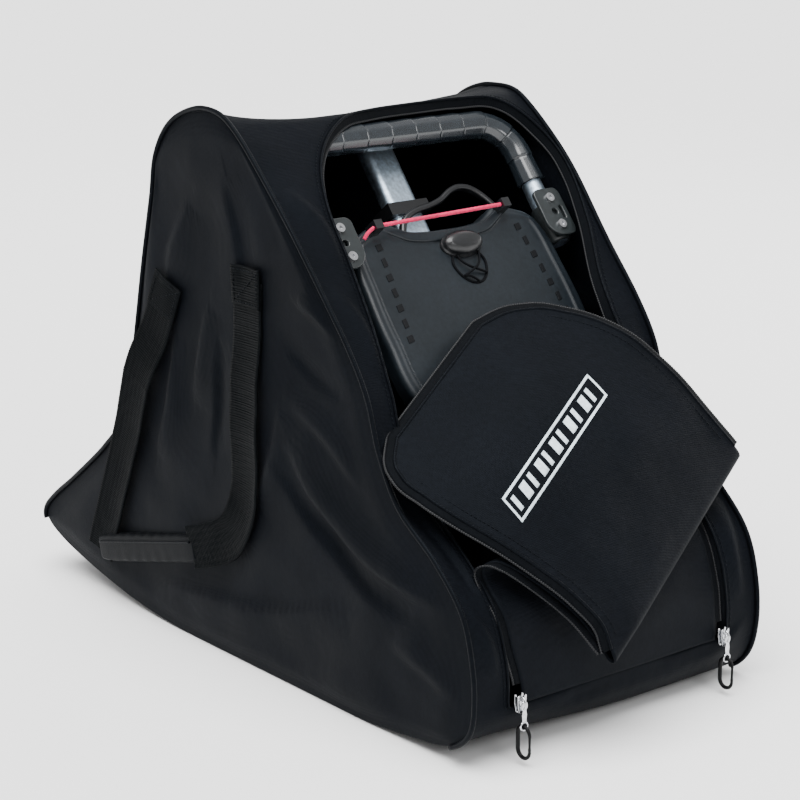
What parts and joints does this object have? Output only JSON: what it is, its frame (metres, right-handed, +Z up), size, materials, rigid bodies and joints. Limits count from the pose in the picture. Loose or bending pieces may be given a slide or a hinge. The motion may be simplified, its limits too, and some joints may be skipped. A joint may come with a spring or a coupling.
{
  "type": "golf push cart carry bag",
  "caption": "Soft wedge-shaped carry bag with its front zipped open and flap folded over, holding a folded three-wheel golf push cart; carry handles on both sides.",
  "frame": {"origin": "centre of the flat underside of the bag's base", "axes": "+Z up, the zipped front opening faces -Y, +X is the bag's right side as seen from the front"},
  "size_m": [0.4084, 0.8145, 0.5726],
  "materials": {
    "bag_fabric": "black nylon with a navy tint, plain weave, soft folds",
    "flap_fabric": "black nylon with a navy tint, plain weave, pale printed emblem",
    "piping": "black covered piping along the seams",
    "zip_tape": "black woven zip tape",
    "zip_coil": "black nylon zip coil",
    "zip_chrome": "polished chrome slider and pull",
    "hook_black": "black enamelled snap hook",
    "webbing": "ribbed black webbing, stitched",
    "handle_wrap": "padded black wrap",
    "frame_silver": "pale blue-grey satin paint",
    "grip_rubber": "dark ribbed rubber, slightly glossy",
    "bracket_plastic": "dark grey moulded plastic",
    "screw_black": "black socket screws",
    "black_plastic": "black moulded plastic",
    "pin_steel": "bright steel pins and axles",
    "cover_plastic": "slate grey moulded plastic with a satin sheen",
    "tray_plastic": "dark grey moulded plastic",
    "bungee_black": "thin black braided elastic",
    "elastic_red": "bright pink-red braided elastic",
    "tyre": "solid black foam tyre",
    "rim_plastic": "dark grey moulded rim"
  },
  "bodies": {
    "bag": {"left_side_panel": "bag_fabric", "right_side_panel": "bag_fabric", "base_panel": "bag_fabric", "rear_panel": "bag_fabric", "top_panel": "bag_fabric", "front_surround": "bag_fabric", "left_piping": "piping", "right_piping": "piping", "body_zip_tape": "zip_tape", "body_zip_coil": "zip_coil", "left_handle_anchors": "webbing", "right_handle_anchors": "webbing", "handlebar_tube": "frame_silver", "handlebar_grip": "grip_rubber", "handle_bracket_left": "bracket_plastic", "handle_bracket_right": "bracket_plastic", "bracket_screws": "screw_black", "upper_frame_tube": "frame_silver", "lower_frame_tube": "frame_silver", "frame_hinge_plates": "black_plastic", "frame_hinge_pins": "pin_steel", "tube_clamp": "black_plastic", "frame_cover": "cover_plastic", "frame_tray": "tray_plastic", "grab_handle": "black_plastic", "strap_ball": "black_plastic", "strap_loop": "bungee_black", "bag_strap": "elastic_red", "strap_hooks": "black_plastic", "rear_axle_beam": "frame_silver", "rear_axle": "pin_steel", "axle_nuts": "black_plastic", "left_wheel_arm": "frame_silver", "right_wheel_arm": "frame_silver", "front_axle": "pin_steel", "front_fork": "frame_silver"},
    "flap_lower": {"flap_base": "flap_fabric", "flap_base_coil": "zip_coil", "flap_middle": "flap_fabric"},
    "flap_upper": {"flap_top": "flap_fabric", "flap_top_tape": "zip_tape"},
    "slider_left": {"zip_slider_left": "zip_chrome"},
    "pull_left": {"zip_pull_left": "zip_chrome"},
    "hook_left": {"carabiner_left": "hook_black"},
    "gate_left": {"carabiner_gate_left": "hook_black"},
    "left_handle": {"left_handle_webbing": "webbing", "left_handle_grip": "handle_wrap"},
    "left_wheel": {"left_wheel_tyre": "tyre", "left_wheel_rim": "rim_plastic"},
    "slider_right": {"zip_slider_right": "zip_chrome"},
    "pull_right": {"zip_pull_right": "zip_chrome"},
    "hook_right": {"carabiner_right": "hook_black"},
    "gate_right": {"carabiner_gate_right": "hook_black"},
    "right_handle": {"right_handle_webbing": "webbing", "right_handle_grip": "handle_wrap"},
    "right_wheel": {"right_wheel_tyre": "tyre", "right_wheel_rim": "rim_plastic"},
    "front_wheel": {"front_wheel_tyre": "tyre", "front_wheel_rim": "rim_plastic"}
  },
  "joints": [
    {"name": "flap_lower_fold", "type": "hinge", "parent": "bag", "child": "flap_lower", "pos_m": [0, -0.38, 0.06], "axis": [1, 0, 0], "range_deg": [0, 50]},
    {"name": "flap_upper_fold", "type": "hinge", "parent": "flap_lower", "child": "flap_upper", "pos_m": [0.07867, -0.38716, 0.16806], "axis": [0.8476, 0.2936, 0.442], "range_deg": [0, 110]},
    {"name": "zip_left_slide", "type": "slide", "parent": "bag", "child": "slider_left", "axis": [-0.0408, 0, 0.9992], "range_m": [0, 0.055]},
    {"name": "zip_pull_left_swing", "type": "hinge", "parent": "slider_left", "child": "pull_left", "pos_m": [-0.1355, -0.3912, 0.062], "axis": [-1, 0, 0], "range_deg": [0, 110]},
    {"name": "carabiner_left_swing", "type": "hinge", "parent": "pull_left", "child": "hook_left", "pos_m": [-0.1355, -0.3912, 0.0385], "axis": [0, 1, 0], "range_deg": [-30, 30]},
    {"name": "carabiner_gate_left", "type": "hinge", "parent": "hook_left", "child": "gate_left", "pos_m": [-0.1355, -0.3992, 0.016], "axis": [-1, 0, 0], "range_deg": [0, 22], "stiffness_Nm_per_rad": 0.002},
    {"name": "left_handle_swing", "type": "hinge", "parent": "bag", "child": "left_handle", "pos_m": [-0.19325, -0.04, 0.371], "axis": [0, 0.9774, -0.2113], "range_deg": [0, 150]},
    {"name": "left_wheel_spin", "type": "hinge", "parent": "bag", "child": "left_wheel", "pos_m": [-0.114, 0, 0.16], "axis": [1, 0, 0], "continuous": true},
    {"name": "zip_right_slide", "type": "slide", "parent": "bag", "child": "slider_right", "axis": [0.0408, 0, 0.9992], "range_m": [0, 0.055]},
    {"name": "zip_pull_right_swing", "type": "hinge", "parent": "slider_right", "child": "pull_right", "pos_m": [0.1355, -0.3912, 0.062], "axis": [-1, 0, 0], "range_deg": [0, 110]},
    {"name": "carabiner_right_swing", "type": "hinge", "parent": "pull_right", "child": "hook_right", "pos_m": [0.1355, -0.3912, 0.0385], "axis": [0, -1, 0], "range_deg": [-30, 30]},
    {"name": "carabiner_gate_right", "type": "hinge", "parent": "hook_right", "child": "gate_right", "pos_m": [0.1355, -0.3992, 0.016], "axis": [-1, 0, 0], "range_deg": [0, 22], "stiffness_Nm_per_rad": 0.002},
    {"name": "right_handle_swing", "type": "hinge", "parent": "bag", "child": "right_handle", "pos_m": [0.19325, -0.04, 0.371], "axis": [0, -0.9774, 0.2113], "range_deg": [0, 150]},
    {"name": "right_wheel_spin", "type": "hinge", "parent": "bag", "child": "right_wheel", "pos_m": [0.158, 0, 0.16], "axis": [1, 0, 0], "continuous": true},
    {"name": "front_wheel_spin", "type": "hinge", "parent": "bag", "child": "front_wheel", "pos_m": [0.022, -0.228, 0.125], "axis": [1, 0, 0], "continuous": true}
  ]
}
